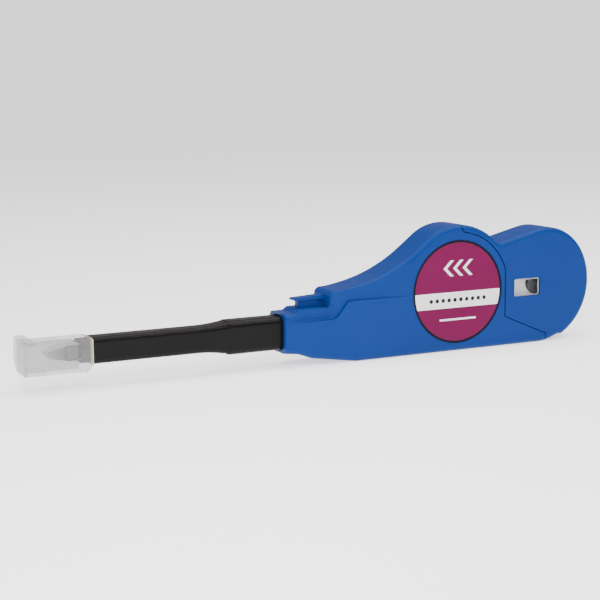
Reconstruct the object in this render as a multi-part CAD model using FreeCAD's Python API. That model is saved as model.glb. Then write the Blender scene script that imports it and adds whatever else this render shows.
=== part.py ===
"""One-click cleaning pen for multi-fibre connectors.

Frame: X runs along the tool with the nozzle towards -X, Z is up, and the label side faces -Y.
The origin is on the flat foot, below the take-up reel's axis, in the middle of the casing's width.
All sizes are millimetres. One STEP file per piece is written to parts/.
"""
import FreeCAD
import Part
import math
import os

V = FreeCAD.Vector

# ---------------------------------------------------------------- casing
width = 16.0            # casing width across Y
wall = 1.6              # side wall and rim thickness
edge_r = 2.0            # rounding of the casing's long edges
axle_z = 22.7           # height of the take-up reel's axis
hump_r = 25.1           # hump over the take-up reel
crest_r = 19.2          # tighter front shoulder of the hump
front_slope = 37.5      # slope down to the nose, degrees
nose_x = -53.7          # front face of the hump
nose_z = 26.6           # its top edge
sweep_gap = 2.6         # the hollow before the nose ends this far behind its front face
nose_rise = 4.0         # slope of the top just behind the nose, degrees
nose_r = 2.4            # kept larger than edge_r
supply_x = 37.3         # axis of the supply reel
rear_r = 23.75          # rear end, round about the supply reel
rear_sink = 0.8         # the full circle would reach this far below the foot
rear_slope = 13.6       # top of the rear shell, degrees
rear_top_x = 43.4       # where that slope meets the round end
foot_front_x = -43.0    # flat foot, from front to rear
foot_rear_x = 41.0
heel_z = 2.2            # underside behind the foot rises to this height
heel_step = 1.3         # and ends in a short flat before the round end
heel_r = 2.3            # kept larger than edge_r
chin_r = 3.1            # round below the nose, inside the neck
toe_r = 20.0            # bends at both ends of the foot
crown_r = 20.0          # blend of the rear slope into the round end
saddle_r = 3.2          # blend of the rear slope into the hump
bite = 0.05             # forms that are fused reach this far into each other

# ---------------------------------------------------------------- neck and collar
mouth_x = -71.5         # open front end of the neck
mouth_z = 5.1           # its lower edge
mouth_top = 19.5        # top of the collar
neck_top = 20.7         # top of the neck behind the collar
neck_bottom = ((-66.0, 4.5), (-60.4, 2.5))
collar_end = -67.0      # collar, then a short ramp up to the neck's top
ramp_end = -65.2
neck_root = 3.5         # how far the neck runs into the body
mouth_half = 6.6        # half width of the neck at the mouth
scoop_z = 16.3          # finger scoop on each side, from this height up
scoop_half = 5.6        # half width left between the scoops
scoop_rear = -51.5
scoop_r = 3.0
scoop_floor_r = 0.9
brow_half = 6.7         # half width of the hump at its front face
brow_end = -20.0        # where the brow has widened to the full casing
brow_z = 22.7           # lower edge of the brow
brow_front = -46.5      # where that edge turns down to the scoop

# ---------------------------------------------------------------- rail on the neck
rail_front = -65.9
rail_half = 2.0
rail_z = 23.5           # underside of the rail's plate
rail_tip = 0.8          # plate thickness at its front end
rail_rise = 0.7         # how much thicker it gets on the way to the nose
rail_web = 1.1          # half thickness of the web below the plate
rail_overhang = 1.9

# ---------------------------------------------------------------- seam, window, label
cover_front = -56.0     # front end of the far cover
seam_r = 22.4           # seam about the take-up axis
seam_top_x = 1.7
seam_upright_x = 21.3   # upright part of the seam behind the label
seam_low_z = 11.45      # the upright part of the seam ends here
seam_foot = (40.5, 3.3)
seam_bend_r = 1.5       # bend where the seam turns down from the arc
groove_w = 0.45         # visible groove along the seam
groove_d = 0.9
window_x = 25.5
window_z = 18.7
window_w = 11.9
window_h = 6.9
window_r = 0.7
window_gap = 0.08
lens_inset = 0.3
lens_bevel = 0.45
lens_rim = 1.4
lens_flange = 0.6
label_r = 19.5
label_t = 0.2
label_seat = 0.3
label_gap = 0.1

# ---------------------------------------------------------------- nozzle
nozzle_z = 12.6         # nozzle axis
slim_w = 8.2
slim_h = 9.2
slim_r = 1.8
slim_wall = 0.8
big_w = 9.0
big_h = 12.15
big_r = 2.4
big_drop = 0.22         # the big section sits this much lower
bore_r = 0.8            # corners of the hollow
nozzle_front = -142.6   # front shoulder, where the guide cap seats
spigot_len = 3.7        # reduced end inside the guide cap
spigot_w = 7.8
spigot_h = 7.6
spigot_wall = 0.6
flare_front = -104.0    # the flare swells from here
flare_share = 0.7       # this far towards the big section
flare_step_x = -93.0    # then a short step takes it the rest of the way
flare_rear = -92.0
stop_front = -51.0      # stop flange inside the casing
stop_t = 2.0
stop_rim = 0.8
stroke = 10.0
slide_gap = 0.3

# ---------------------------------------------------------------- tape and reels
tape_w = 6.0
tape_t = 0.16
tape_gap = 0.05         # between pieces of tape
strand_z = 2.7          # distance of each strand from the nozzle axis
flange_t = 0.8
core_gap = 0.2          # tape edge to flange
hub_r = 6.4
take_up_flange_r = 15.7
post_r = 2.0            # posts that the reels turn on
post_gap = 0.06
post_end = 4.6          # they reach this far to the near side
lighten_r = 2.6         # three holes in the take-up flanges
core_r = 4.0            # dark hub of the supply reel
hub_end = 5.5
washer_t = 0.35
supply_hub_r = 4.8
supply_roll_r = 14.0
supply_flange_r = 16.6
pin_r = 1.5
pin_x = 20.5            # the two lower tape pins stand this far either side of the origin
pin_z = 6.0
rise_pin_x = -31.5

# ---------------------------------------------------------------- drive
gear_module = 1.0
gear_teeth = 16
gear_t = 1.5
backlash = 0.16
rack_first = -15.0
rack_last = 5.0
rack_back = 2.2         # bar under the teeth
carriage_rear = -36.0
peg_len = 4.0
ratchet_teeth = 12
ratchet_root = 5.7
ratchet_tip = 5.1
boss_r = 3.2
arm_r = 4.8             # spring pawls inside the hub
arm_t = 0.7
arm_root = 22.0         # width of an arm's root, degrees
claw_angle = 113.0      # from the root to the claw's tip
pawl_deep = 1.0
tooth_gap = 0.1
rim_teeth = 30
rim_tooth = 0.7
pawl_pin_r = 1.2
pawl_eye = 1.0          # metal round its pin
pawl_room = 0.25        # from its eye to the front wall
pawl_set = 0.6          # how far down the front wall it stands, of the flange radius
pawl_y = 3.0
pawl_t = 1.2
pawl_angle = 130.0      # where the tip rides on the rim
pawl_heel = 1.6         # its spring tail bears on the wall this far up from the pin
spring_r = 2.3
spring_wire = 0.5
wire_flats = 8
spring_turns = 7
spring_z = 21.3
spring_seat_x = -20.6

# ---------------------------------------------------------------- cleaning head
tip_x = -158.0
head_w = 6.2
head_h = 2.6
head_shank = 1.8
head_rear = -152.4      # back of the press block
head_travel = 1.0
guide_gap = 0.4
shank_gap = 0.05
shank_len = 5.0         # bored length that guides the shank
collar_t = 0.8
chamber_r = 1.7
spring_room = 6.5
head_wire = 0.3
strand_front = -150.5   # where the strands meet the tape of the head
guide_h = 4.2
guide_rear = -56.0

# ---------------------------------------------------------------- guide cap
cap_front = -167.0
cap_half = 6.0
cap_low = 6.15
cap_top = 17.35
cap_r = 1.2
cap_wall = 1.1
cap_gap = 0.1
partition_t = 1.2       # ahead of the nozzle's spigot
heel_cut = 2.2          # bevel under the cap's rear end
heel_rise = 2.7
heel_rib = 0.35         # low rib in front of the bevel
heel_rib_w = 0.6
lid_t = 1.4
lip_top = 18.75
lip_len = 1.9
lip_ramp = 1.7
lid_crown_r = 40.0      # crown of the flap's front face
lid_crown_z = 15.5

# ---------------------------------------------------------------- worked out
half = width / 2
inner = half - wall
pitch_r = gear_module * gear_teeth / 2
take_up_r = axle_z - (nozzle_z + strand_z)
reel_half = tape_w / 2 + core_gap + flange_t
gear_y = reel_half + 0.3
big_z = nozzle_z - big_drop
supply_z = rear_r - rear_sink
slope_turn = math.radians(front_slope)
slope_reach = (hump_r - crest_r) * math.cos(slope_turn) + crest_r   # take-up axis to the front slope
pawl_reach = slope_reach - wall - pawl_pin_r - pawl_eye - pawl_room
pawl_down = pawl_set * take_up_flange_r
pawl_x = -math.sin(slope_turn) * pawl_reach - math.cos(slope_turn) * pawl_down
pawl_z = axle_z + math.cos(slope_turn) * pawl_reach - math.sin(slope_turn) * pawl_down
cap_rear = nozzle_front - cap_gap / 2
spigot_front = nozzle_front - spigot_len


# ================================================================ helpers
def at(x, z, y=0.0):
    return V(x, y, z)


def prism(wire, y0, y1):
    """Solid between y0 and y1 of a closed wire drawn in the plane y = 0."""
    moved = wire.copy()
    moved.translate(V(0, y0, 0))
    return Part.Face(moved).extrude(V(0, y1 - y0, 0))


def disc(x, z, r, y0, y1):
    return Part.makeCylinder(r, y1 - y0, V(x, y0, z), V(0, 1, 0))


def ring(x, z, r_out, r_in, y0, y1):
    return disc(x, z, r_out, y0, y1).cut(disc(x, z, r_in, y0 - 1, y1 + 1))


def block(x0, x1, y0, y1, z0, z1):
    return Part.makeBox(x1 - x0, y1 - y0, z1 - z0, V(x0, y0, z0))


def fuse(shapes):
    whole = shapes[0].multiFuse(shapes[1:]) if len(shapes) > 1 else shapes[0]
    return whole.removeSplitter()


def rounded(points):
    """Closed wire through (x, z, radius) corners, each corner an arc tangent to its two sides."""
    edges = []
    count = len(points)
    starts = []
    for i, (x, z, r) in enumerate(points):
        here = at(x, z)
        back = at(*points[i - 1][:2]) - here
        ahead = at(*points[(i + 1) % count][:2]) - here
        back.normalize()
        ahead.normalize()
        half_turn = back.getAngle(ahead) / 2
        if r == 0 or abs(half_turn - math.pi / 2) < 1e-6:
            starts.append((here, None, here))
            continue
        reach = r / math.tan(half_turn)
        middle = back + ahead
        middle.normalize()
        centre = here + middle * (r / math.sin(half_turn))
        starts.append((here + back * reach, centre - middle * r, here + ahead * reach))
    for i, (enter, mid, leave) in enumerate(starts):
        if mid is not None:
            edges.append(Part.Arc(enter, mid, leave).toShape())
        following = starts[(i + 1) % count][0]
        if leave.distanceToPoint(following) > 1e-6:
            edges.append(Part.LineSegment(leave, following).toShape())
    return Part.Wire(edges)


def rounded_bar(x0, x1, w, h, r, z_mid):
    """Bar along X with a rounded rectangular section."""
    bar = block(x0, x1, -w / 2, w / 2, z_mid - h / 2, z_mid + h / 2)
    long_edges = [e for e in bar.Edges if abs(e.Vertexes[0].X - e.Vertexes[-1].X) > 1e-6]
    return bar.makeFillet(r, long_edges)


def section_wire(x, w, h, r, z_mid):
    """Rounded rectangle in the plane of the given x."""
    corners = [(-w / 2, z_mid - h / 2), (w / 2, z_mid - h / 2),
               (w / 2, z_mid + h / 2), (-w / 2, z_mid + h / 2)]
    flat = rounded([(a, b, r) for a, b in corners])
    flat.rotate(V(0, 0, 0), V(0, 0, 1), 90)
    flat.translate(V(x, 0, 0))
    return flat


def coil(x0, x1, radius, wire, turns, y, z):
    """Compression spring along X between x0 and x1, its wire drawn with a few flats."""
    length = x1 - x0 - wire
    path = Part.makeHelix(length / turns, length, radius)
    flats = [circle_point(radius, 0, wire / 2, 360 * i / wire_flats) for i in range(wire_flats)]
    section = Part.makePolygon(flats + flats[:1])
    body = Part.Wire(path).makePipeShell([section], True, True)
    body.rotate(V(0, 0, 0), V(0, 1, 0), 90)
    body.translate(V(x0 + wire / 2, y, z))
    return body


def ribbon(stops):
    """Tape round a row of pins: each stop is (x, z, signed radius), positive right of the run."""
    runs = []
    for (xa, za, ra), (xb, zb, rb) in zip(stops, stops[1:]):
        along = at(xb - xa, zb - za)
        reach = along.Length
        along.normalize()
        left = at(-along.z, along.x)
        tilt = math.asin((ra - rb) / reach)
        normal = left * math.cos(tilt) + along * math.sin(tilt)
        runs.append((at(xa, za) + normal * ra, at(xb, zb) + normal * rb, normal))
    sides = []
    for offset in (tape_t / 2, -tape_t / 2):
        edges = []
        for i, (start, end, normal) in enumerate(runs):
            edges.append((start + normal * offset, end + normal * offset, None))
            if i + 1 < len(runs):
                turn = normal + runs[i + 1][2]
                turn.normalize()
                x, z, r = stops[i + 1]
                middle = at(x, z) + turn * (r + offset)
                edges.append((end + normal * offset, runs[i + 1][0] + runs[i + 1][2] * offset, middle))
        sides.append(edges)
    outline = []
    for start, end, middle in sides[0]:
        outline.append(Part.Arc(start, middle, end).toShape() if middle else line(start, end))
    outline.append(line(sides[0][-1][1], sides[1][-1][1]))
    for start, end, middle in reversed(sides[1]):
        outline.append(Part.Arc(end, middle, start).toShape() if middle else line(end, start))
    outline.append(line(sides[1][0][0], sides[0][0][0]))
    return prism(Part.Wire(outline), -tape_w / 2, tape_w / 2)


# ================================================================ casing
def circle_point(x, z, r, angle):
    turn = math.radians(angle)
    return at(x + r * math.cos(turn), z + r * math.sin(turn))


def blend(point, slope, s, centre, r, grows, root):
    """Arc of radius abs(s) tangent to a sloping line and to a circle.

    s is positive where the arc's centre lies above the line. grows is 1 where the arc sits outside
    the circle and -1 where it sits inside. root picks the crossing along the line.
    Returns the points on the line, on the arc and on the circle.
    """
    turn = math.radians(slope)
    along = at(math.cos(turn), math.sin(turn))
    above = at(-along.z, along.x)
    start = point + above * s
    reach = r + grows * abs(s)
    foot = start + along * along.dot(centre - start)
    gap = (centre - foot).Length
    middle = foot + along * root * math.sqrt(reach * reach - gap * gap)
    on_line = middle - above * s
    toward = centre - middle
    toward.normalize()
    on_circle = middle + toward * grows * abs(s)
    bulge = (on_line - middle) + (on_circle - middle)
    bulge.normalize()
    return on_line, middle + bulge * abs(s), on_circle


def arc_about(centre, start, end):
    """Short arc about a centre."""
    bulge = (start - centre) + (end - centre)
    bulge.normalize()
    return Part.Arc(start, centre + bulge * (start - centre).Length, end).toShape()


def line(start, end):
    return Part.LineSegment(start, end).toShape()


def top_line():
    """The straight slope in front of the hump and the line behind the nose cross at a corner."""
    crest = at(0, axle_z + hump_r - crest_r)
    slope = math.radians(front_slope)
    brow = crest + at(-math.sin(slope), math.cos(slope)) * crest_r
    rise = math.tan(math.radians(nose_rise))
    corner_x = (nose_z - nose_x * rise - brow.z + brow.x * math.tan(slope)) / (math.tan(slope) - rise)
    return crest, brow, at(corner_x, nose_z + (corner_x - nose_x) * rise)


def body_wire():
    """Side outline of the casing behind the neck."""
    supply = at(supply_x, supply_z)
    take_up = at(0, axle_z)
    apex = at(0, axle_z + hump_r)
    crest, brow, corner = top_line()
    top_z = supply_z + math.sqrt(rear_r ** 2 - (rear_top_x - supply_x) ** 2)
    rear_top = at(rear_top_x, top_z)
    heel = blend(at(foot_rear_x, heel_z), 0, heel_r, supply, rear_r, -1, 1)
    crown = blend(rear_top, rear_slope, -crown_r, supply, rear_r, -1, 1)
    saddle = blend(rear_top, rear_slope, saddle_r, take_up, hump_r, 1, 1)
    tail = circle_point(supply_x, supply_z, rear_r, 0)
    curved = [
        Part.Arc(*heel).toShape(), arc_about(supply, heel[2], tail), arc_about(supply, tail, crown[2]),
        Part.Arc(*crown).toShape(), line(crown[0], saddle[0]), Part.Arc(*saddle).toShape(),
        arc_about(take_up, saddle[2], apex), arc_about(crest, apex, brow),
    ]
    sweep_turn = math.radians(front_slope - nose_rise) / 2
    sweep_r = (corner.x - nose_x - sweep_gap) / math.cos(math.radians(nose_rise)) / math.tan(sweep_turn)
    loop = rounded([
        (brow.x, brow.z, 0), (corner.x, corner.z, sweep_r), (nose_x, nose_z, nose_r),
        (nose_x, body_low(nose_x), chin_r), (foot_front_x, 0, toe_r), (foot_rear_x, 0, toe_r),
        (heel[0].x - heel_step, heel_z, heel_r), (heel[0].x, heel_z, 0),
    ])
    closing = (brow + heel[0]) * 0.5
    open_edges = [e for e in loop.Edges if e.CenterOfMass.distanceToPoint(closing) > 1e-3]
    return Part.Wire(Part.__sortEdges__(open_edges + curved))


def body_low(x):
    """Height of the underside between the neck's last corner and the flat foot."""
    chin_x, chin_z = neck_bottom[1]
    return chin_z * (foot_front_x - x) / (foot_front_x - chin_x)


def neck_wire():
    """Side outline of the neck; its rear end lies inside the body."""
    rear = nose_x + neck_root
    return rounded([
        (rear, neck_top, 0), (ramp_end, neck_top, 0), (collar_end, mouth_top, 0), (mouth_x, mouth_top, 0),
        (mouth_x, mouth_z, 0), (*neck_bottom[0], 6.0), (*neck_bottom[1], 8.0), (rear, body_low(rear), 0),
    ])


def plan_prism(points, sign, z0, z1):
    """Solid over a plan outline given as (x, distance from the middle plane)."""
    corners = [V(x, sign * y, z0) for x, y in points]
    return Part.Face(Part.makePolygon(corners + corners[:1])).extrude(V(0, 0, z1 - z0))


def taper_cut(sign):
    """What the neck's taper takes off one side."""
    lean = (half - mouth_half) / (foot_front_x - mouth_x)
    end_x = mouth_x - 2
    end_y = half - lean * (foot_front_x - end_x)
    outline = [(foot_front_x, half), (foot_front_x, half + 3), (end_x, half + 3), (end_x, end_y)]
    return plan_prism(outline, sign, -2, axle_z + hump_r + 4)


def brow_cut(sign):
    """Shallow recess above the hand grip, from the nose back to the label."""
    lean = (half - brow_half) / (brow_end - nose_x)
    end_x = mouth_x - 2
    end_y = half - lean * (brow_end - end_x)
    plan = [(brow_end, half), (brow_end, half + 3), (end_x, half + 3), (end_x, end_y)]
    high = axle_z + hump_r + 4
    side = rounded([
        (brow_end + 1, brow_z, 0), (brow_end + 1, high, 0), (ramp_end, high, 0), (ramp_end, scoop_z, 0),
        (scoop_rear, scoop_z, 4.0), (brow_front, brow_z, 2.2),
    ])
    return plan_prism(plan, sign, 0, high).common(prism(side, -half - 4, half + 4))


def scoop_cut(sign):
    """Finger scoop beside the rail: slopes in behind the collar and ends in a round."""
    plan = [
        (mouth_x + 1.2, mouth_half + 3), (mouth_x + 1.2, mouth_half + 0.1), (ramp_end, scoop_half),
        (scoop_rear, scoop_half), (scoop_rear, half + 3),
    ]
    solid = plan_prism(plan, sign, scoop_z, neck_top + 1)
    rear = [e for e in solid.Edges if abs(e.CenterOfMass.x - scoop_rear) < 1e-3
            and abs(abs(e.CenterOfMass.y) - scoop_half) < 1e-3]
    solid = solid.makeFillet(scoop_r, rear)
    floor = [e for e in solid.Edges if abs(e.CenterOfMass.z - scoop_z) < 1e-3
             and abs(e.CenterOfMass.y) < mouth_half]
    return solid.makeFillet(scoop_floor_r, floor)


def side_edges(solid, keep):
    """Outer edges of the two flat sides that keep accepts."""
    flanks = [f for f in solid.Faces if abs(f.normalAt(0, 0).y) > 0.9]
    seen = {}
    for face in flanks:
        for edge in face.Edges:
            seen.setdefault(edge.hashCode(), []).append(edge)
    return [group[0] for group in seen.values() if len(group) == 1 and keep(group[0])]


def casing_block():
    """The casing's outer form with its rail, solid."""
    body = prism(body_wire(), -half, half)
    neck = prism(neck_wire(), -half, half)
    for sign in (-1, 1):
        body = body.cut(taper_cut(sign))
        neck = neck.cut(taper_cut(sign))
    body = body.makeFillet(edge_r, side_edges(body, lambda e: True))
    rear = nose_x + neck_root
    neck = neck.makeFillet(edge_r, side_edges(neck, lambda e: mouth_x < e.CenterOfMass.x < rear - 0.01))
    whole = body.fuse(neck)
    for sign in (-1, 1):
        whole = whole.cut(brow_cut(sign))
        whole = whole.cut(scoop_cut(sign))
    return whole.fuse(rail())


def rail():
    """T-shaped rail that runs forward from the nose over the neck."""
    root = nose_x + wall / 2
    tip = rail_tip / 2
    plate = rounded([
        (root, rail_z, 0), (root, rail_z + rail_tip + rail_rise, 0),
        (rail_front, rail_z + rail_tip, tip * 0.9), (rail_front, rail_z, tip * 0.9),
    ])
    web = block(rail_front + rail_overhang, root, -rail_web, rail_web, neck_top - wall / 2, rail_z + tip)
    return prism(plate, -rail_half, rail_half).fuse(web)


def cavity():
    """Hollow of the casing: the outline less the wall, closed in front at the stop flange."""
    outline = Part.Face(body_wire()).makeOffset2D(-wall)
    hollow = outline.Faces[0].extrude(V(0, 2 * inner, 0))
    hollow.translate(V(0, -inner, 0))
    return hollow.common(block(stop_front, supply_x + rear_r, -half, half, 0, axle_z + hump_r))


def brow_backing(room, sign):
    """Extra wall inside the hollow, behind the recess of the nose."""
    near = sign * (brow_half - wall)
    far = sign * inner
    return room.common(block(stop_front, brow_end - stroke, min(near, far), max(near, far),
                             brow_z - wall, axle_z + hump_r))


def ahead_of_seam(shift, y0, y1):
    """Solid that holds everything ahead of the seam, its end moved rearward by shift."""
    r = seam_r + shift
    x_top = seam_top_x + shift
    x_low = seam_upright_x + shift
    top = at(x_top, axle_z + math.sqrt(r * r - x_top * x_top))
    low = at(x_low, axle_z + math.sqrt(r * r - x_low * x_low))
    foot_x, foot_z = seam_foot
    high = axle_z + 2 * hump_r
    far = 2 * mouth_x
    start = at(far, high)
    edges = [
        line(start, at(x_top, high)), line(at(x_top, high), top), arc_about(at(0, axle_z), top, low),
        line(low, at(x_low, seam_low_z + shift / 2)),
        line(at(x_low, seam_low_z + shift / 2), at(foot_x + shift, foot_z + shift / 2)),
        line(at(foot_x + shift, foot_z + shift / 2), at(foot_x + shift, -wall)),
        line(at(foot_x + shift, -wall), at(far, -wall)), line(at(far, -wall), start),
    ]
    solid = prism(Part.Wire(edges), y0, y1)
    bends = [e for e in solid.Edges for spot in (top, low)
             if math.hypot(e.CenterOfMass.x - spot.x, e.CenterOfMass.z - spot.z) < 1e-3]
    return solid.makeFillet(seam_bend_r, bends)


def seam_groove():
    """Groove that shows along the seam on the near side."""
    depth = -half + groove_d
    wide = ahead_of_seam(groove_w / 2, -half - 1, depth)
    return wide.cut(ahead_of_seam(-groove_w / 2, -half - 2, depth + 1))


def nozzle_bar(x0, x1, grow):
    """The big section of the nozzle, grown by a clearance."""
    return rounded_bar(x0, x1, big_w + 2 * grow, big_h + 2 * grow, big_r + grow, big_z)


def shells():
    """Front shell, rear shell and far cover, cut from the one casing form."""
    body = casing_block()
    room = cavity()
    cover_side = block(cover_front, supply_x + rear_r + 1, inner, half + 1, -1, axle_z + hump_r + 1)
    backing = brow_backing(room, 1)
    room = room.cut(brow_backing(room, -1))
    shell = body.cut(room).cut(nozzle_bar(mouth_x - 1, stop_front + 0.1, slide_gap)).cut(cover_side)
    shell = shell.cut(seam_groove())
    ahead = ahead_of_seam(0, -half - 1, half + 1)
    front = shell.common(ahead)
    rear = shell.cut(ahead)
    seat = disc(0, axle_z, label_r + label_gap, -half - 1, -half + label_seat)
    spring_seat = block(spring_seat_x, spring_seat_x + wall, -inner - 0.1, reel_half - 0.4,
                        spring_z - spring_r - 1, spring_z + spring_r + 1)
    front = front.cut(seat).fuse(spring_seat)
    rear = rear.cut(window_prism(0, -half - 1, -inner + 1))
    return solid_of(front), solid_of(rear), far_cover(body.common(cover_side).fuse(backing))


def far_cover(plate):
    """Far wall with the posts for the reels and the stop pawl, and the pins that turn the tape."""
    pieces = [plate]
    foot = half - wall / 2
    pieces.append(disc(0, axle_z, post_r, -post_end, foot))
    pieces.append(disc(supply_x, supply_z, post_r, -post_end, foot))
    pieces.append(disc(pawl_x, pawl_z, pawl_pin_r, pawl_y - 0.6, foot))
    for x, z in pin_places():
        pieces.append(disc(x, z, pin_r, -tape_w / 2 - 0.4, foot))
    return solid_of(fuse(pieces))


def pin_places():
    strand = nozzle_z - strand_z
    return [(pin_x, pin_z), (-pin_x, pin_z), (rise_pin_x, strand - tape_t / 2 - pin_r)]


def solid_of(shape):
    """The one solid of a result; a stray sliver would be an error."""
    solids = sorted(shape.Solids, key=lambda s: s.Volume)
    return solids[-1].removeSplitter()


def window_prism(grow, y0, y1):
    left = window_x - grow
    right = window_x + window_w + grow
    low = window_z - grow
    high = window_z + window_h + grow
    corners = [(left, low), (right, low), (right, high), (left, high)]
    return prism(rounded([(x, z, window_r) for x, z in corners]), y0, y1)


def window_lens():
    """Clear plate with a bevelled face in the opening and a flange behind the wall."""
    plug = window_prism(-window_gap, -half + lens_inset, -inner)
    face = [e for e in plug.Edges if abs(e.CenterOfMass.y + half - lens_inset) < 1e-4]
    plug = plug.makeChamfer(lens_bevel, face)
    return solid_of(plug.fuse(window_prism(lens_rim, -inner, -inner + lens_flange)))


def label():
    floor = -half + label_seat
    return disc(0, axle_z, label_r, floor - label_t, floor)


# ================================================================ nozzle and carriage
def nozzle():
    """Black tube: spigot for the cap, slim front, flare, big rear section and a stop flange."""
    outer = []
    bore = []
    for share in (0, 1 / 3, 2 / 3, 1):
        ease = share * share * flare_share
        x = flare_front + (flare_step_x - flare_front) * share
        outer.append(flare_section(x, ease, 0))
        bore.append(flare_section(x, ease, slim_wall))
    flare = Part.makeLoft(outer, True, False).cut(Part.makeLoft(bore, True, False))
    step = Part.makeLoft([outer[-1], flare_section(flare_rear, 1, 0)], True, True)
    step = step.cut(Part.makeLoft([bore[-1], flare_section(flare_rear, 1, slim_wall)], True, True))
    slim = rounded_bar(nozzle_front, flare_front, slim_w, slim_h, slim_r, nozzle_z)
    slim = slim.cut(rounded_bar(nozzle_front + slim_wall, flare_front + 1, slim_w - 2 * slim_wall,
                                slim_h - 2 * slim_wall, bore_r, nozzle_z))
    spigot = rounded_bar(spigot_front, nozzle_front + slim_wall / 2, spigot_w, spigot_h,
                         bore_r + spigot_wall, nozzle_z)
    rear_end = stop_front + stop_t
    big = nozzle_bar(flare_rear, rear_end, 0).fuse(nozzle_bar(stop_front, rear_end, stop_rim))
    big = big.cut(rounded_bar(flare_rear - 1, rear_end + 1, big_w - 2 * slim_wall,
                              big_h - 2 * slim_wall, bore_r, big_z))
    return solid_of(fuse([slim, spigot, flare, step, big]).cut(spigot_bore()))


def flare_section(x, ease, inset):
    """Section of the nozzle, ease of the way from the slim to the big one, less the inset."""
    w = slim_w + (big_w - slim_w) * ease - 2 * inset
    h = slim_h + (big_h - slim_h) * ease - 2 * inset
    r = bore_r if inset else slim_r + (big_r - slim_r) * ease
    return section_wire(x, w, h, r, nozzle_z - big_drop * ease)


def spigot_bore():
    return rounded_bar(spigot_front - 1, nozzle_front + slim_wall + 0.1, spigot_w - 2 * spigot_wall,
                       spigot_h - 2 * spigot_wall, bore_r, nozzle_z)


def head_guide():
    """Bar between the two tape strands, bored in front for the head's shank and spring."""
    side = slim_w / 2 - slim_wall
    front = head_rear + head_travel + guide_gap
    bar = block(front, guide_rear, -side, side, nozzle_z - guide_h / 2, nozzle_z + guide_h / 2)
    along = V(1, 0, 0)
    bore = Part.makeCylinder(head_shank / 2 + shank_gap, shank_len + 1, V(front - 1, 0, nozzle_z), along)
    chamber = Part.makeCylinder(chamber_r, spring_room, V(front + shank_len, 0, nozzle_z), along)
    return solid_of(bar.cut(bore).cut(chamber))


def cleaning_head():
    """Rounded press block on a shank, with a collar that holds it in the guide."""
    r = head_h / 2
    front = tip_x + tape_t + r
    side = head_w / 2
    press = disc(front, nozzle_z, r, -side, side)
    press = press.fuse(block(front, head_rear, -side, side, nozzle_z - r, nozzle_z + r))
    along = V(1, 0, 0)
    guide_front = head_rear + head_travel + guide_gap
    collar_x = guide_front + shank_len
    reach = collar_x - head_rear + 2 * bite
    shank = Part.makeCylinder(head_shank / 2, reach, V(head_rear - bite, 0, nozzle_z), along)
    collar = Part.makeCylinder(chamber_r - slide_gap, collar_t, V(collar_x, 0, nozzle_z), along)
    return solid_of(fuse([press, shank, collar]))


def head_spring():
    start = head_rear + head_travel + guide_gap + shank_len + collar_t
    end = head_rear + head_travel + guide_gap + shank_len + spring_room
    return coil(start, end, chamber_r - slide_gap - head_wire / 2, head_wire, 4, 0, nozzle_z)


def carriage():
    """Slides with the nozzle: plug, bridge with the spring peg, and the rack on the far side."""
    top = nose_z - wall - 0.5
    cheek = reel_half + 0.3
    seat_gap = 0.4
    clean = nozzle_z - strand_z
    used = nozzle_z + strand_z
    plug_half = big_w / 2 - slim_wall
    front = stop_front + stop_t
    plug = block(guide_rear, front, -plug_half, plug_half, clean + 1, used - 1)
    body = block(front, carriage_rear, -cheek, cheek, clean + 1, top)
    body = body.makeFillet(1.0, [e for e in body.Edges if abs(e.CenterOfMass.z - top) < 1e-3
                                 and abs(e.CenterOfMass.x - front) > 1e-3])
    slot_half = tape_w / 2 + seat_gap
    slot = block(front - 1, carriage_rear + 1, -slot_half, slot_half,
                 used - 2 * seat_gap, used + 2 * seat_gap)
    peg_r = spring_r - spring_wire - slide_gap
    peg = Part.makeCylinder(peg_r, peg_len, V(carriage_rear - bite, 0, spring_z), V(1, 0, 0))
    return solid_of(fuse([plug, body.cut(slot), peg, rack()]))


def rack():
    """Rack bar under the drive gear, trapezoid teeth pointing up."""
    pitch = math.pi * gear_module
    pitch_z = axle_z - pitch_r
    add = 0.9 * gear_module
    ded = 1.15 * gear_module
    lean = math.tan(math.radians(20))
    thick = pitch / 2 - backlash
    count = int((rack_last - rack_first) / pitch)
    # a tooth space stands straight under the gear at rest
    first = -pitch * (int(-rack_first / pitch) + 0.5)
    corners = [at(first - pitch / 2, pitch_z - ded)]
    for i in range(count + 1):
        x = first + i * pitch
        foot = thick / 2 + ded * lean
        head = thick / 2 - add * lean
        corners += [at(x - foot, pitch_z - ded), at(x - head, pitch_z + add)]
        corners += [at(x + head, pitch_z + add), at(x + foot, pitch_z - ded)]
    end = first + (count + 0.5) * pitch
    low = pitch_z - ded - rack_back
    start = stop_front + stop_t + 1
    corners += [at(end, pitch_z - ded), at(end, low), at(start, low), at(start, pitch_z - ded)]
    return prism(Part.makePolygon(corners + corners[:1]), gear_y, gear_y + gear_t)


def return_spring():
    radius = spring_r - spring_wire / 2
    return coil(carriage_rear, spring_seat_x, radius, spring_wire, spring_turns, 0, spring_z)


# ================================================================ gear and reels
def involute(base, r):
    """Angle of the involute at radius r."""
    roll = math.sqrt(max(r * r / base / base - 1, 0))
    return roll - math.atan(roll)


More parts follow.
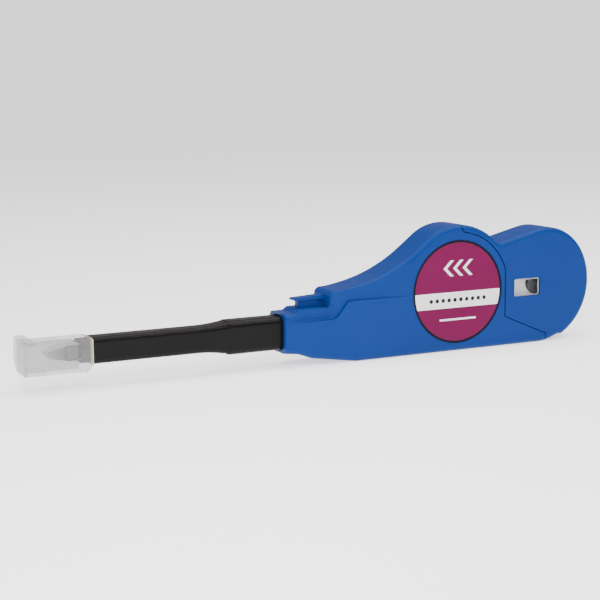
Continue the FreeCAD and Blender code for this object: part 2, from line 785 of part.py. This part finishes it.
def spur_wire(x, z, turn):
    """Spur gear outline with involute flanks."""
    base = pitch_r * math.cos(math.radians(20))
    root = pitch_r - 1.15 * gear_module
    tip = pitch_r + 0.9 * gear_module
    half_tooth = math.pi / 2 / gear_teeth - backlash / 2 / pitch_r + involute(base, pitch_r)
    edges = []
    step = 2 * math.pi / gear_teeth

    def spot(r, angle):
        return at(x + r * math.cos(angle), z + r * math.sin(angle))

    for i in range(gear_teeth):
        mid = turn + i * step
        radii = [base, (base + tip) / 2, tip]
        rise = [spot(r, mid - half_tooth + involute(base, r)) for r in radii]
        fall = [spot(r, mid + half_tooth - involute(base, r)) for r in reversed(radii)]
        foot_in = spot(root, mid - half_tooth)
        foot_out = spot(root, mid + half_tooth)
        edges += [line(foot_in, rise[0]), Part.Arc(*rise).toShape(), line(rise[-1], fall[0])]
        edges += [Part.Arc(*fall).toShape(), line(fall[-1], foot_out)]
        edges.append(line(foot_out, spot(root, mid + step - half_tooth)))
    return Part.Wire(edges)


def polar_prism(spots, turn, y0, y1):
    """Solid over corners given as (radius, degrees) about the take-up axis."""
    corners = [circle_point(0, axle_z, r, turn + angle) for r, angle in spots]
    return prism(Part.makePolygon(corners + corners[:1]), y0, y1)


def spring_arm(turn):
    """Curved spring pawl of the drive gear: a root on the boss, the arm, and the claw at its end."""
    middle = arm_r - arm_t / 2
    top = reel_half - slide_gap
    sector = polar_prism([(0, 0), (2 * arm_r, 0), (3 * arm_r, claw_angle / 2), (2 * arm_r, claw_angle + 2)],
                         turn, pawl_deep, reel_half)
    arm = ring(0, axle_z, arm_r, arm_r - arm_t, pawl_deep, top).common(sector)
    inside = boss_r - arm_t / 2
    root = polar_prism([(inside, 0), (middle, 0), (middle, arm_root), (inside, arm_root)],
                       turn, pawl_deep, top)
    reach = ratchet_tip - tooth_gap
    claw = polar_prism([(middle, claw_angle - 15), (arm_r - bite, claw_angle - 17), (reach, claw_angle),
                        (middle, claw_angle + 1)], turn, pawl_deep, top)
    return [arm, root, claw]


def drive_gear():
    """Gear on the rack; its boss reaches into the take-up hub with two spring pawls."""
    # a tooth points straight down, into the rack's space
    gear = prism(spur_wire(0, axle_z, -math.pi / 2), gear_y, gear_y + gear_t)
    boss = disc(0, axle_z, boss_r, pawl_deep, gear_y + bite)
    whole = fuse([gear, boss] + spring_arm(0) + spring_arm(180))
    return solid_of(whole.cut(disc(0, axle_z, post_r + post_gap, -half, half)))


def saw_wire(x, z, tip, root, count):
    """Ratchet outline: each tooth rises slowly and drops straight back."""
    corners = []
    for i in range(count):
        corners.append(circle_point(x, z, root, 360 * i / count))
        corners.append(circle_point(x, z, tip, 360 * (i + 0.92) / count))
    return Part.makePolygon(corners + corners[:1])


def take_up_reel():
    """Spool: toothed far flange, hub with the inner ratchet open to the far side."""
    side = reel_half
    hub = disc(0, axle_z, hub_r, -side, side)
    near = disc(0, axle_z, take_up_flange_r, -side, -side + flange_t)
    rim = saw_wire(0, axle_z, take_up_flange_r, take_up_flange_r - rim_tooth, rim_teeth)
    far = prism(rim, side - flange_t, side)
    spool = fuse([hub, near, far])
    ratchet = saw_wire(0, axle_z, ratchet_tip, ratchet_root, ratchet_teeth)
    spool = spool.cut(prism(ratchet, pawl_deep - slide_gap, side + 1))
    for turn in (30, 150, 270):
        hole = circle_point(0, axle_z, (hub_r + take_up_flange_r) / 2, turn)
        spool = spool.cut(disc(hole.x, hole.z, lighten_r, -side - 1, side + 1))
    return solid_of(spool.cut(disc(0, axle_z, post_r + post_gap, -half, half)))


def supply_reel():
    """Light spool with two flanges on the dark hub."""
    side = reel_half
    barrel = disc(supply_x, supply_z, supply_hub_r, -side, side)
    near = disc(supply_x, supply_z, supply_flange_r, -side, -side + flange_t)
    far = disc(supply_x, supply_z, supply_flange_r, side - flange_t, side)
    return solid_of(fuse([barrel, near, far]).cut(disc(supply_x, supply_z, core_r, -side - 1, side + 1)))


def supply_hub():
    """Dark hub, pressed into the spool; its near end stands close behind the window."""
    body = disc(supply_x, supply_z, core_r, -hub_end, reel_half)
    return body.cut(disc(supply_x, supply_z, post_r + post_gap, -post_end - slide_gap, half))


def brake_washer():
    """Dished spring washer between the far cover and the supply reel."""
    y_out = inner
    y_in = reel_half + 0.05
    r_in = post_r + post_gap + 0.3
    r_out = r_in + 3.4
    corners = [V(r_out, y_out, 0), V(r_out, y_out - washer_t, 0),
               V(r_in, y_in, 0), V(r_in, y_in + washer_t, 0)]
    section = Part.Face(Part.makePolygon(corners + corners[:1]))
    cone = section.revolve(V(0, 0, 0), V(0, 1, 0), 360)
    cone.translate(V(supply_x, 0, supply_z))
    return cone


def stop_pawl():
    """Lever on its post; the tip rides on the take-up reel's toothed rim, a leaf tail springs it."""
    low = pawl_y
    high = pawl_y + pawl_t
    eye = disc(pawl_x, pawl_z, pawl_pin_r + pawl_eye, low, high)
    tip = circle_point(0, axle_z, take_up_flange_r + tooth_gap, pawl_angle)
    pivot = at(pawl_x, pawl_z)
    along = tip - pivot
    along.normalize()
    across = at(-along.z, along.x)
    lever = prism(Part.makePolygon([
        pivot + across * 1.2, pivot - across * 1.2, tip - along * 2.0 - across * 0.1, tip,
        tip - along * 1.6 + across * 1.5, pivot + across * 1.2,
    ]), low, high)
    out = at(-math.sin(slope_turn), math.cos(slope_turn))
    up = at(math.cos(slope_turn), math.sin(slope_turn))
    heel = pivot + out * (pawl_pin_r + pawl_eye + pawl_room - 2 * tooth_gap) + up * pawl_heel
    leaf = prism(Part.makePolygon([
        pivot + at(0, 0.9), pivot + at(0.9, 0), heel + at(0.5, 0), heel, pivot + at(0, 0.9),
    ]), low, high)
    whole = fuse([eye, lever, leaf])
    return solid_of(whole.cut(disc(pawl_x, pawl_z, pawl_pin_r + post_gap, low - 1, high + 1)))


# ================================================================ tape
def tape_roll(x, z, inside, outside):
    return ring(x, z, outside, inside, -tape_w / 2, tape_w / 2)


def supply_run():
    """From the supply roll under the two low pins and up over the rise pin."""
    right, left, rise = pin_places()
    lie = tape_t / 2
    strand = nozzle_z - strand_z
    return ribbon([
        (supply_x, supply_z, supply_roll_r + lie), (*right, pin_r + lie), (*left, pin_r + lie),
        (*rise, -pin_r - lie), (rise[0] - 0.01, strand, 0),
    ])


def strand(z, rear_x):
    side = tape_w / 2
    return block(strand_front, rear_x, -side, side, z - tape_t / 2, z + tape_t / 2)


def tip_tape():
    """Tape over the head's rounded front, opening out to the two strands."""
    r = head_h / 2 + tape_t / 2
    nose = tip_x + tape_t + head_h / 2
    return ribbon([
        (strand_front - tape_gap, nozzle_z + strand_z, 0), (nose, nozzle_z, -r),
        (strand_front - tape_gap, nozzle_z - strand_z, 0),
    ])


# ================================================================ guide cap
def guide_cap():
    """Translucent box: rear pocket on the spigot, partition, socket for the connector in front."""
    front = cap_front + lid_t
    bevel_x = cap_rear - heel_cut
    outline = rounded([
        (front, cap_low, 0), (bevel_x - heel_rib_w - heel_rib, cap_low, 0),
        (bevel_x - heel_rib_w, cap_low - heel_rib, 0), (bevel_x, cap_low - heel_rib, 0),
        (cap_rear, cap_low - heel_rib + heel_rise, 0),
        (cap_rear, cap_top, 0), (front, cap_top, 0),
    ])
    box = prism(outline, -cap_half, cap_half)
    rims = [e for e in box.Edges if e.Length > 15 and abs(abs(e.CenterOfMass.y) - cap_half) < 1e-4]
    box = box.makeFillet(cap_r, rims)
    pocket = rounded_bar(spigot_front - cap_gap, cap_rear + 1, spigot_w + 2 * cap_gap,
                         spigot_h + 2 * cap_gap, bore_r + spigot_wall + cap_gap, nozzle_z)
    wall_in = cap_half - cap_wall
    middle = (cap_low + cap_top) / 2
    socket = rounded_bar(front - 1, spigot_front - partition_t, 2 * wall_in,
                         cap_top - cap_low - 2 * cap_wall, cap_r, middle)
    passage = rounded_bar(spigot_front - partition_t - 1, spigot_front + 1, spigot_w - 2 * spigot_wall,
                          spigot_h - 2 * spigot_wall, bore_r, nozzle_z)
    return solid_of(box.cut(pocket).cut(socket).cut(passage))


def cap_lid():
    """Flap that shuts the cap's front, with a thumb lip lying on the cap's top."""
    front = cap_front + lid_t
    outline = rounded([
        (cap_front, cap_low, 0.4), (front, cap_low, 0), (front, cap_top, 0),
        (front + lip_len + lip_ramp, cap_top, 0),
        (front + lip_len, lip_top, 0.3), (cap_front + 0.5, lip_top, 0.5),
    ])
    flap = prism(outline, -cap_half, cap_half)
    height = lip_top - cap_low
    corners = rounded_bar(cap_front, front + lip_len + lip_ramp, 2 * cap_half, height, cap_r,
                          cap_low + height / 2)
    crown = disc(cap_front + lid_crown_r, lid_crown_z, lid_crown_r, -cap_half, cap_half)
    return solid_of(flap.common(corners).common(crown))


def build():
    front, rear, cover = shells()
    clean = nozzle_z - strand_z
    used = nozzle_z + strand_z
    return {
        "front_shell": front, "rear_shell": rear, "far_cover": cover,
        "window_lens": window_lens(), "label": label(),
        "nozzle": nozzle(), "head_guide": head_guide(),
        "carriage": carriage(), "return_spring": return_spring(),
        "cleaning_head": cleaning_head(), "head_spring": head_spring(), "tip_tape": tip_tape(),
        "drive_gear": drive_gear(), "take_up_reel": take_up_reel(),
        "used_tape_roll": tape_roll(0, axle_z, hub_r, take_up_r - tape_t / 2),
        "supply_reel": supply_reel(), "supply_hub": supply_hub(), "brake_washer": brake_washer(),
        "supply_tape_roll": tape_roll(supply_x, supply_z, supply_hub_r, supply_roll_r),
        "stop_pawl": stop_pawl(), "supply_run": supply_run(),
        "supply_strand": strand(clean, rise_pin_x - tape_gap), "return_strand": strand(used, 0),
        "guide_cap": guide_cap(), "cap_lid": cap_lid(),
    }


if __name__ == "__main__":
    os.makedirs("parts", exist_ok=True)
    for name, shape in build().items():
        shape.exportStep("parts/" + name + ".step")
        box = shape.BoundBox
        print(name, shape.isValid(), len(shape.Solids), round(shape.Volume, 1),
              [round(v, 2) for v in (box.XMin, box.XMax, box.YMin, box.YMax, box.ZMin, box.ZMax)])
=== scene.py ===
"""Looks of the fibre connector cleaning pen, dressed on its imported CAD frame. Metres throughout."""
import math

import bpy
from mathutils import Matrix, Vector


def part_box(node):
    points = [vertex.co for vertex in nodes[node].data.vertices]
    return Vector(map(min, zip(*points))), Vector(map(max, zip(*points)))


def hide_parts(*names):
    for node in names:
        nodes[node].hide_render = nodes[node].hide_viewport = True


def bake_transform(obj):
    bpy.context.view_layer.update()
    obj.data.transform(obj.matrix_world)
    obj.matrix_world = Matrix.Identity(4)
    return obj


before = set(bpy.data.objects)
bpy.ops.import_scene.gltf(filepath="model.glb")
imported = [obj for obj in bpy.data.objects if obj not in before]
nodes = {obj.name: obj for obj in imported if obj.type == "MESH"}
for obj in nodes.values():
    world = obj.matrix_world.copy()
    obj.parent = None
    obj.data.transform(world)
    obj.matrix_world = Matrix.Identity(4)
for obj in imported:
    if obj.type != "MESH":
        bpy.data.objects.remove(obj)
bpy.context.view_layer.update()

MM = 0.001

# ---------------------------------------------------------------- camera, floor and light
CAMERA_AT = Vector((-0.2906, -0.4611, 0.1064))
CAMERA_AZ, CAMERA_EL, CAMERA_ROLL = math.radians(-26.33), math.radians(9.174), math.radians(-0.444)
CAMERA_LENS = 86.42

FLOOR_SIZE = 60
FLOOR_PALE = 0.85
FLOOR_GLOW = 1.1            # keeps the floor even out to the horizon
HORIZON_GLOW = 1.5          # the far floor's brightness, so that no edge shows
HORIZON_TOP, SKY_FROM = 0.05, 0.10      # heights on the unit sphere
SKY = (0.32, 0.27, 0.28)    # share of the horizon's glow


def place_camera():
    back = Vector((
        math.sin(CAMERA_AZ) * math.cos(CAMERA_EL),
        -math.cos(CAMERA_AZ) * math.cos(CAMERA_EL),
        math.sin(CAMERA_EL),
    ))
    right = (-back).cross(Vector((0, 0, 1))).normalized()
    up = right.cross(-back).normalized()
    side = right * math.cos(CAMERA_ROLL) + up * math.sin(CAMERA_ROLL)
    top = up * math.cos(CAMERA_ROLL) - right * math.sin(CAMERA_ROLL)
    data = bpy.data.cameras.new("camera")
    data.lens = CAMERA_LENS
    data.sensor_width = 36
    data.clip_start = 0.01
    camera = bpy.data.objects.new("camera", data)
    camera.matrix_world = Matrix((
        (side.x, top.x, back.x, CAMERA_AT.x),
        (side.y, top.y, back.y, CAMERA_AT.y),
        (side.z, top.z, back.z, CAMERA_AT.z),
        (0, 0, 0, 1),
    ))
    bpy.context.scene.collection.objects.link(camera)
    bpy.context.scene.camera = camera


def area_light(name, at, aim, size, power, colour=(1, 1, 1)):
    data = bpy.data.lights.new(name, "AREA")
    data.shape = "RECTANGLE"
    data.size, data.size_y = size
    data.energy = power
    data.color = colour
    lamp = bpy.data.objects.new(name, data)
    lamp.location = at
    lamp.rotation_euler = (Vector(aim) - Vector(at)).to_track_quat("-Z", "Y").to_euler()
    bpy.context.scene.collection.objects.link(lamp)


def make_world():
    """A pale studio: as bright as the floor at the horizon, softer higher up."""
    world = bpy.data.worlds.new("studio")
    world.use_nodes = True
    tree = world.node_tree
    height = split(tree, node(tree, "ShaderNodeTexCoord").outputs["Generated"])["Z"]
    glow = ramp(tree, height, [(0.0, (1.0, 1.0, 1.0)), (HORIZON_TOP, (1.0, 1.0, 1.0)), (SKY_FROM, SKY)])
    tree.links.new(glow, tree.nodes["Background"].inputs["Color"])
    tree.nodes["Background"].inputs["Strength"].default_value = HORIZON_GLOW
    bpy.context.scene.world = world


def light_scene():
    make_world()
    area_light("key", (-0.24, -0.26, 0.24), (-0.01, 0, 0.025), (0.16, 0.16), 1.5)
    area_light("top", (0.0, 0.10, 0.70), (0, 0, 0.03), (0.9, 0.4), 6.0, (1.0, 0.96, 0.98))
    area_light("edge", (0.17, -0.22, 0.40), (-0.05, 0, 0.02), (0.5, 0.04), 1.3)


def make_floor():
    bpy.ops.mesh.primitive_plane_add(size=FLOOR_SIZE, location=(0, 0, 0))
    floor = bpy.context.object
    floor.name = "floor"
    material, tree, shader = new_material("floor_pale")
    shader.inputs["Base Color"].default_value = (FLOOR_PALE, FLOOR_PALE, FLOOR_PALE, 1)
    shader.inputs["Roughness"].default_value = 0.9
    shader.inputs["Specular IOR Level"].default_value = 0.1
    shader.inputs["Emission Color"].default_value = (1, 1, 1, 1)
    shader.inputs["Emission Strength"].default_value = FLOOR_GLOW
    floor.data.materials.append(material)


# ---------------------------------------------------------------- nodes that the materials share
def new_material(name):
    material = bpy.data.materials.new(name)
    material.use_nodes = True
    tree = material.node_tree
    return material, tree, tree.nodes["Principled BSDF"]


def node(tree, kind, **values):
    made = tree.nodes.new(kind)
    for key, value in values.items():
        setattr(made, key, value)
    return made


def place(tree):
    """The row frame's coordinates on any piece, because every object sits at the origin."""
    return node(tree, "ShaderNodeTexCoord").outputs["Object"]


def split(tree, vector):
    made = node(tree, "ShaderNodeSeparateXYZ")
    tree.links.new(vector, made.inputs["Vector"])
    return made.outputs


def noise(tree, scale, detail=2.0, vector=None):
    made = node(tree, "ShaderNodeTexNoise")
    made.inputs["Scale"].default_value = scale
    made.inputs["Detail"].default_value = detail
    if vector is not None:
        tree.links.new(vector, made.inputs["Vector"])
    return made.outputs["Fac"]


def ramp(tree, factor, stops):
    made = node(tree, "ShaderNodeValToRGB")
    points = made.color_ramp.elements
    while len(points) < len(stops):
        points.new(0.5)
    for point, (at, colour) in zip(points, stops):
        point.position = at
        point.color = (*colour, 1)
    tree.links.new(factor, made.inputs["Fac"])
    return made.outputs["Color"]


def remap(tree, value, low, high, to_low, to_high):
    made = node(tree, "ShaderNodeMapRange")
    for key, number in (("From Min", low), ("From Max", high), ("To Min", to_low), ("To Max", to_high)):
        made.inputs[key].default_value = number
    tree.links.new(value, made.inputs["Value"])
    return made.outputs["Result"]


def mix(tree, factor, below, above):
    """Each of below and above is a colour or a socket that gives one."""
    made = node(tree, "ShaderNodeMix", data_type="RGBA")
    tree.links.new(factor, made.inputs["Factor"])
    for socket, colour in ((made.inputs[6], below), (made.inputs[7], above)):
        if isinstance(colour, tuple):
            socket.default_value = (*colour, 1)
        else:
            tree.links.new(colour, socket)
    return made.outputs[2]


def calc(tree, operation, *values):
    made = node(tree, "ShaderNodeMath", operation=operation)
    for socket, value in zip(made.inputs, values):
        if isinstance(value, (int, float)):
            socket.default_value = value
        else:
            tree.links.new(value, socket)
    return made.outputs[0]


def add_bump(tree, shader, height, distance):
    made = node(tree, "ShaderNodeBump")
    made.inputs["Distance"].default_value = distance
    made.inputs["Strength"].default_value = 1.0
    tree.links.new(height, made.inputs["Height"])
    tree.links.new(made.outputs["Normal"], shader.inputs["Normal"])


def shade(colour, factor):
    return tuple(min(1, c * factor) for c in colour)


def tinted(tree, at, colour, vary):
    cloud = noise(tree, 60, 3, at)
    return ramp(tree, cloud, [(0.3, shade(colour, 1 - vary)), (0.7, shade(colour, 1 + vary))])


def finish(tree, shader, at, rough, grain, grain_scale=3500):
    """Uneven sheen and fine grain, which every surface here has."""
    sheen = noise(tree, 140, 4, at)
    tree.links.new(remap(tree, sheen, 0.25, 0.75, rough * 0.85, rough * 1.15), shader.inputs["Roughness"])
    add_bump(tree, shader, noise(tree, grain_scale, 2, at), grain)


# ---------------------------------------------------------------- materials
def moulded(name, colour, rough, grain=0.01 * MM, vary=0.06, gloss=0.5):
    """Moulded plastic: faint cloudiness in the colour, fine grain, uneven sheen."""
    material, tree, shader = new_material(name)
    at = place(tree)
    tree.links.new(tinted(tree, at, colour, vary), shader.inputs["Base Color"])
    shader.inputs["Specular IOR Level"].default_value = gloss
    finish(tree, shader, at, rough, grain)
    return material


LABEL_R = 19.5 * MM
AXLE_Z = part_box("label")[1][2] - LABEL_R        # from its top, because the facets fall short below
LABEL_FIELD = 18.65 * MM
BAND_DEPTH = 6.0 * MM
DOT_GAP, DOT_R, DOTS_TO = 2.6 * MM, 0.8 * MM, 13.0 * MM
ARROW_Z, ARROW_GAP, ARROW_HALF, ARROWS_TO = 9.0 * MM, 4.2 * MM, 3.0 * MM, 6.3 * MM
ARROW_STROKE = 1.5 * MM
RULE_Z, RULE_HALF, RULE_WIDTH = -10.4 * MM, 8.0 * MM, 0.7 * MM
RING, MAGENTA = (0.003, 0.004, 0.010), (0.125, 0.003, 0.047)
PRINT_WHITE, INK = (0.80, 0.80, 0.80), (0.012, 0.012, 0.014)


def both(tree, first, second):
    return calc(tree, "MULTIPLY", first, second)


def within(tree, value, centre, half):
    return calc(tree, "LESS_THAN", calc(tree, "ABSOLUTE", calc(tree, "SUBTRACT", value, centre)), half)


def radius(tree, x, z):
    return calc(tree, "SQRT", calc(tree, "ADD", both(tree, x, x), both(tree, z, z)))


def dot_row(tree, along, up):
    """Plain dots along the middle of the white band."""
    step = calc(tree, "SUBTRACT", calc(tree, "FLOORED_MODULO", along, DOT_GAP), DOT_GAP / 2)
    dot = calc(tree, "LESS_THAN", radius(tree, step, calc(tree, "ADD", up, BAND_DEPTH / 2)), DOT_R)
    return both(tree, dot, within(tree, along, 0.0, DOTS_TO))


def arrow_row(tree, along, up):
    """Plain chevrons in the upper field, pointing to the nozzle."""
    rise = calc(tree, "ABSOLUTE", calc(tree, "SUBTRACT", up, ARROW_Z))
    centred = calc(tree, "ADD", along, (ARROW_HALF + ARROW_STROKE) / 2)
    slant = calc(tree, "SUBTRACT", centred, rise)
    stroke = calc(tree, "LESS_THAN", calc(tree, "FLOORED_MODULO", slant, ARROW_GAP), ARROW_STROKE)
    room = both(tree, calc(tree, "LESS_THAN", rise, ARROW_HALF), within(tree, slant, 0.0, ARROWS_TO))
    return both(tree, stroke, room)


def rule_line(tree, along, up):
    """A plain line in the lower field."""
    return both(tree, within(tree, up, RULE_Z, RULE_WIDTH / 2), within(tree, along, 0.0, RULE_HALF))


def printed_label():
    """Dark ring, magenta field and a white band below the middle, printed on satin film."""
    material, tree, shader = new_material("label_print")
    at = place(tree)
    part = split(tree, at)
    along, up = part["X"], calc(tree, "SUBTRACT", part["Z"], AXLE_Z)
    white = tinted(tree, at, PRINT_WHITE, 0.02)
    marks = calc(tree, "MAXIMUM", arrow_row(tree, along, up), rule_line(tree, along, up))
    field = mix(tree, marks, tinted(tree, at, MAGENTA, 0.05), white)
    band = mix(tree, dot_row(tree, along, up), white, INK)
    print_area = mix(tree, within(tree, up, -BAND_DEPTH / 2, BAND_DEPTH / 2), field, band)
    disc = calc(tree, "LESS_THAN", radius(tree, along, up), LABEL_FIELD)
    tree.links.new(mix(tree, disc, RING, print_area), shader.inputs["Base Color"])
    shader.inputs["Specular IOR Level"].default_value = 0.1
    finish(tree, shader, at, 0.42, 0.004 * MM)
    return material


def clear_lens():
    """Clear plastic whose flat face lets the reel show, with a painted highlight on its chamfered edge.
    """
    material, tree, shader = new_material("lens_clear")
    at = place(tree)
    facing = split(tree, node(tree, "ShaderNodeNewGeometry").outputs["Normal"])["Y"]
    # Painted highlight: faces turned away from the flat face get a pale colour and more opacity.
    bevel_highlight = remap(tree, calc(tree, "ABSOLUTE", facing), 0.85, 0.97, 1.0, 0.0)
    clear = tinted(tree, at, (0.10, 0.11, 0.12), 0.1)
    tree.links.new(mix(tree, bevel_highlight, clear, (0.75, 0.78, 0.80)), shader.inputs["Base Color"])
    tree.links.new(remap(tree, bevel_highlight, 0.0, 1.0, 0.05, 0.7), shader.inputs["Alpha"])
    shader.inputs["Specular IOR Level"].default_value = 0.12
    finish(tree, shader, at, 0.12, 0.001 * MM)
    return material


CAP_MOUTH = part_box("guide_cap")[1][0]
# width and opacity of the painted highlight along the cap's mouth
RIM_HIGHLIGHT_WIDTH = 0.25 * MM
THIN_TO, THICK_FROM = -150 * MM, -160 * MM      # the wall looks whiter from here to there
THIN_ALPHA, THICK_ALPHA, RIM_HIGHLIGHT_ALPHA = 0.33, 0.42, 0.6


def milky_cap():
    """Translucent moulding, thicker and whiter in front, with a painted cream highlight along the edge of
    its mouth.
    """
    material, tree, shader = new_material("cap_milky")
    at = place(tree)
    along = split(tree, at)["X"]
    # Painted highlight: a cream band at the mouth, more opaque than the wall.
    rim_highlight = calc(tree, "GREATER_THAN", along, CAP_MOUTH - RIM_HIGHLIGHT_WIDTH)
    front = remap(tree, along, THIN_TO, THICK_FROM, 0.0, 1.0)
    milk = mix(tree, front, tinted(tree, at, (0.25, 0.255, 0.26), 0.06), (0.40, 0.40, 0.39))
    tree.links.new(mix(tree, rim_highlight, milk, (0.85, 0.82, 0.55)), shader.inputs["Base Color"])
    cloud = remap(tree, noise(tree, 160, 3, at), 0.2, 0.8, -0.04, 0.04)
    body = calc(tree, "ADD", remap(tree, front, 0.0, 1.0, THIN_ALPHA, THICK_ALPHA), cloud)
    alpha = calc(tree, "MAXIMUM", body, calc(tree, "MULTIPLY", rim_highlight, RIM_HIGHLIGHT_ALPHA))
    tree.links.new(alpha, shader.inputs["Alpha"])
    shader.inputs["Specular IOR Level"].default_value = 0.35
    finish(tree, shader, at, 0.3, 0.004 * MM)
    return material


def wound_tape():
    """Cleaning tape: pale cloth with a fine weave."""
    material, tree, shader = new_material("tape_white")
    at = place(tree)
    tree.links.new(tinted(tree, at, (0.78, 0.78, 0.76), 0.05), shader.inputs["Base Color"])
    weave = node(tree, "ShaderNodeTexWave", bands_direction="DIAGONAL")
    weave.inputs["Scale"].default_value = 900
    weave.inputs["Distortion"].default_value = 2.0
    tree.links.new(at, weave.inputs["Vector"])
    rough = noise(tree, 400, 3, at)
    tree.links.new(remap(tree, rough, 0.2, 0.8, 0.7, 0.95), shader.inputs["Roughness"])
    add_bump(tree, shader, weave.outputs["Fac"], 0.01 * MM)
    return material


def drawn_steel():
    """Spring wire: bright, with drawing marks along it."""
    material, tree, shader = new_material("spring_steel")
    at = place(tree)
    tree.links.new(tinted(tree, at, (0.56, 0.56, 0.57), 0.05), shader.inputs["Base Color"])
    shader.inputs["Metallic"].default_value = 1.0
    finish(tree, shader, at, 0.28, 0.003 * MM, 2200)
    return material


def dress(material, *names):
    """Gives CAD nodes their material."""
    for name in names:
        mesh = nodes[name].data
        mesh.materials.clear()
        mesh.materials.append(material)
        for polygon in mesh.polygons:
            polygon.material_index = 0


def dress_all():
    dress(moulded("casing_blue", (0.002, 0.030, 0.170), 0.38, vary=0.035, gloss=0.10),
          "front_shell", "rear_shell", "far_cover")
    dress(moulded("nozzle_black", (0.003, 0.0028, 0.0026), 0.32, gloss=0.12), "nozzle")
    dress(moulded("inner_grey", (0.35, 0.36, 0.37), 0.4), "carriage", "drive_gear", "stop_pawl")
    dress(moulded("guide_grey", (0.10, 0.105, 0.11), 0.4), "cleaning_head", "head_guide")
    dress(moulded("reel_light", (0.85, 0.86, 0.87), 0.45), "take_up_reel", "supply_reel")
    dress(moulded("hub_dark", (0.02, 0.02, 0.022), 0.5), "supply_hub")
    dress(wound_tape(), "tip_tape", "used_tape_roll", "supply_tape_roll", "supply_run",
          "supply_strand", "return_strand")
    dress(drawn_steel(), "return_spring", "head_spring", "brake_washer")
    dress(milky_cap(), "guide_cap", "cap_lid")
    dress(clear_lens(), "window_lens")
    dress(printed_label(), "label")


# ---------------------------------------------------------------- springs and tape
FLEX = (
    # piece, material slot, body at its front end, body at its rear end
    ("return_spring", "spring_steel", "carriage", "housing"),
    ("head_spring", "spring_steel", "head", "carriage"),
    ("supply_strand", "tape_white", "carriage", "housing"),
    ("return_strand", "tape_white", "carriage", "housing"),
    ("tip_tape", "tape_white", "head", "carriage"),
)


def flex(name, slot, front, rear):
    """Shows the piece by a fixed copy of its own mesh and hides the piece itself; the bodies at its two
    ends are not used.
    """
    piece = nodes[name]
    stand_in = bpy.data.objects.new(name + "_flex", piece.data.copy())
    bpy.context.scene.collection.objects.link(stand_in)
    stand_in.matrix_world = piece.matrix_world
    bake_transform(stand_in)
    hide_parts(name)


place_camera()
light_scene()
make_floor()
dress_all()
for springy in FLEX:
    flex(*springy)
